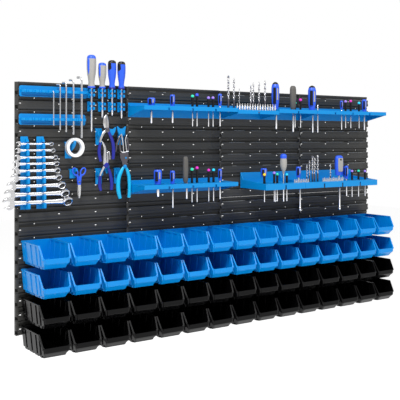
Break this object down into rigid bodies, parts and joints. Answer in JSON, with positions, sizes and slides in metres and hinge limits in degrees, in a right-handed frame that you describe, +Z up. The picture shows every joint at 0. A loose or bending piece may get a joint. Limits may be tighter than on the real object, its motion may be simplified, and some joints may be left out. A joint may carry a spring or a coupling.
{
  "type": "tool wall",
  "caption": "Louvred plastic wall panels with hook-on bins, shelves, clips and racks for hand tools.",
  "frame": {"origin": "on the panels' back plane, at the middle of the wall's width over the knuckles, 21.7 mm above the seam between the two rows of panels", "axes": "+X to the right seen from the front, +Y into the wall it hangs on, +Z up"},
  "size_m": [1.5974, 0.1755, 0.914],
  "materials": {
    "panel_charcoal": "satin",
    "plastic_azure": "satin",
    "plastic_black": "satin",
    "handle_grey": "satin",
    "handle_blue": "satin",
    "tool_chrome": "polished",
    "tape_white": "satin"
  },
  "bodies": {
    "wall": {"panel_lower_1": "panel_charcoal", "panel_lower_2": "panel_charcoal", "panel_lower_3": "panel_charcoal", "panel_lower_4": "panel_charcoal", "panel_upper_1": "panel_charcoal", "panel_upper_2": "panel_charcoal", "panel_upper_3": "panel_charcoal", "panel_upper_4": "panel_charcoal", "bin_row_blue": "plastic_azure", "bin_row_black_upper": "plastic_black", "bin_row_black_lower": "plastic_black", "shelf_top_left": "plastic_azure", "shelf_top_bits": "plastic_azure", "shelf_top_middle": "plastic_azure", "shelf_top_right": "plastic_azure", "shelf_lower_left": "plastic_azure", "shelf_lower_middle": "plastic_azure", "shelf_lower_right": "plastic_azure", "hex_key_bar_upper": "plastic_azure", "hex_key_bar_lower": "plastic_azure", "driver_clip_upper_1": "plastic_azure", "driver_clip_lower_1": "plastic_azure", "driver_clip_upper_2": "plastic_azure", "driver_clip_lower_2": "plastic_azure", "driver_clip_upper_3": "plastic_azure", "driver_clip_lower_3": "plastic_azure", "driver_clip_upper_4": "plastic_azure", "driver_clip_lower_4": "plastic_azure", "wrench_rack_left": "plastic_azure", "wrench_rack_right": "plastic_azure", "pliers_hook_upper_left": "plastic_azure", "pliers_hook_upper_right": "plastic_azure", "pliers_hook_lower_left": "plastic_azure", "pliers_hook_lower_right": "plastic_azure", "tape_hook": "plastic_azure", "scissors_hook": "plastic_azure", "scissors_half_a": "handle_blue"},
    "bin_blue_01": {"bin_blue_01": "plastic_azure"},
    "bin_blue_02": {"bin_blue_02": "plastic_azure"},
    "bin_blue_03": {"bin_blue_03": "plastic_azure"},
    "bin_blue_04": {"bin_blue_04": "plastic_azure"},
    "bin_blue_05": {"bin_blue_05": "plastic_azure"},
    "bin_blue_06": {"bin_blue_06": "plastic_azure"},
    "bin_blue_07": {"bin_blue_07": "plastic_azure"},
    "bin_blue_08": {"bin_blue_08": "plastic_azure"},
    "bin_blue_09": {"bin_blue_09": "plastic_azure"},
    "bin_blue_10": {"bin_blue_10": "plastic_azure"},
    "bin_blue_11": {"bin_blue_11": "plastic_azure"},
    "bin_blue_12": {"bin_blue_12": "plastic_azure"},
    "bin_blue_13": {"bin_blue_13": "plastic_azure"},
    "bin_blue_14": {"bin_blue_14": "plastic_azure"},
    "bin_blue_15": {"bin_blue_15": "plastic_azure"},
    "screwdriver_1": {"screwdriver_1": "handle_grey"},
    "screwdriver_2": {"screwdriver_2": "handle_grey"},
    "screwdriver_3": {"screwdriver_3": "handle_blue"},
    "screwdriver_4": {"screwdriver_4": "handle_blue"},
    "wrench_large": {"wrench_large": "tool_chrome"},
    "tape_roll": {"tape_roll": "tape_white"},
    "scissors_half_b": {"scissors_half_b": "handle_blue"}
  },
  "joints": [
    {"name": "lift_bin_blue_01", "type": "slide", "parent": "wall", "child": "bin_blue_01", "axis": [0, -0.3387, 0.9409], "range_m": [0, 0.012]},
    {"name": "lift_bin_blue_02", "type": "slide", "parent": "wall", "child": "bin_blue_02", "axis": [0, -0.3387, 0.9409], "range_m": [0, 0.012]},
    {"name": "lift_bin_blue_03", "type": "slide", "parent": "wall", "child": "bin_blue_03", "axis": [0, -0.3387, 0.9409], "range_m": [0, 0.012]},
    {"name": "lift_bin_blue_04", "type": "slide", "parent": "wall", "child": "bin_blue_04", "axis": [0, -0.3387, 0.9409], "range_m": [0, 0.012]},
    {"name": "lift_bin_blue_05", "type": "slide", "parent": "wall", "child": "bin_blue_05", "axis": [0, -0.3387, 0.9409], "range_m": [0, 0.012]},
    {"name": "lift_bin_blue_06", "type": "slide", "parent": "wall", "child": "bin_blue_06", "axis": [0, -0.3387, 0.9409], "range_m": [0, 0.012]},
    {"name": "lift_bin_blue_07", "type": "slide", "parent": "wall", "child": "bin_blue_07", "axis": [0, -0.3387, 0.9409], "range_m": [0, 0.012]},
    {"name": "lift_bin_blue_08", "type": "slide", "parent": "wall", "child": "bin_blue_08", "axis": [0, -0.3387, 0.9409], "range_m": [0, 0.012]},
    {"name": "lift_bin_blue_09", "type": "slide", "parent": "wall", "child": "bin_blue_09", "axis": [0, -0.3387, 0.9409], "range_m": [0, 0.012]},
    {"name": "lift_bin_blue_10", "type": "slide", "parent": "wall", "child": "bin_blue_10", "axis": [0, -0.3387, 0.9409], "range_m": [0, 0.012]},
    {"name": "lift_bin_blue_11", "type": "slide", "parent": "wall", "child": "bin_blue_11", "axis": [0, -0.3387, 0.9409], "range_m": [0, 0.012]},
    {"name": "lift_bin_blue_12", "type": "slide", "parent": "wall", "child": "bin_blue_12", "axis": [0, -0.3387, 0.9409], "range_m": [0, 0.012]},
    {"name": "lift_bin_blue_13", "type": "slide", "parent": "wall", "child": "bin_blue_13", "axis": [0, -0.3387, 0.9409], "range_m": [0, 0.012]},
    {"name": "lift_bin_blue_14", "type": "slide", "parent": "wall", "child": "bin_blue_14", "axis": [0, -0.3387, 0.9409], "range_m": [0, 0.012]},
    {"name": "lift_bin_blue_15", "type": "slide", "parent": "wall", "child": "bin_blue_15", "axis": [0, -0.3387, 0.9409], "range_m": [0, 0.012]},
    {"name": "lift_screwdriver_1", "type": "slide", "parent": "wall", "child": "screwdriver_1", "axis": [0, 0, 1], "range_m": [0, 0.08]},
    {"name": "lift_screwdriver_2", "type": "slide", "parent": "wall", "child": "screwdriver_2", "axis": [0, 0, 1], "range_m": [0, 0.08]},
    {"name": "lift_screwdriver_3", "type": "slide", "parent": "wall", "child": "screwdriver_3", "axis": [0, 0, 1], "range_m": [0, 0.08]},
    {"name": "lift_screwdriver_4", "type": "slide", "parent": "wall", "child": "screwdriver_4", "axis": [0, 0, 1], "range_m": [0, 0.08]},
    {"name": "pull_wrench_large", "type": "slide", "parent": "wall", "child": "wrench_large", "axis": [0, -1, 0], "range_m": [0, 0.018]},
    {"name": "spin_tape_roll", "type": "hinge", "parent": "wall", "child": "tape_roll", "pos_m": [-0.5936, -0.045, 0.16463], "axis": [0, -1, 0], "continuous": true},
    {"name": "open_scissors", "type": "hinge", "parent": "wall", "child": "scissors_half_b", "pos_m": [-0.5731, -0.0338, 0.05433], "axis": [0, 1, 0], "range_deg": [0, 30]}
  ]
}
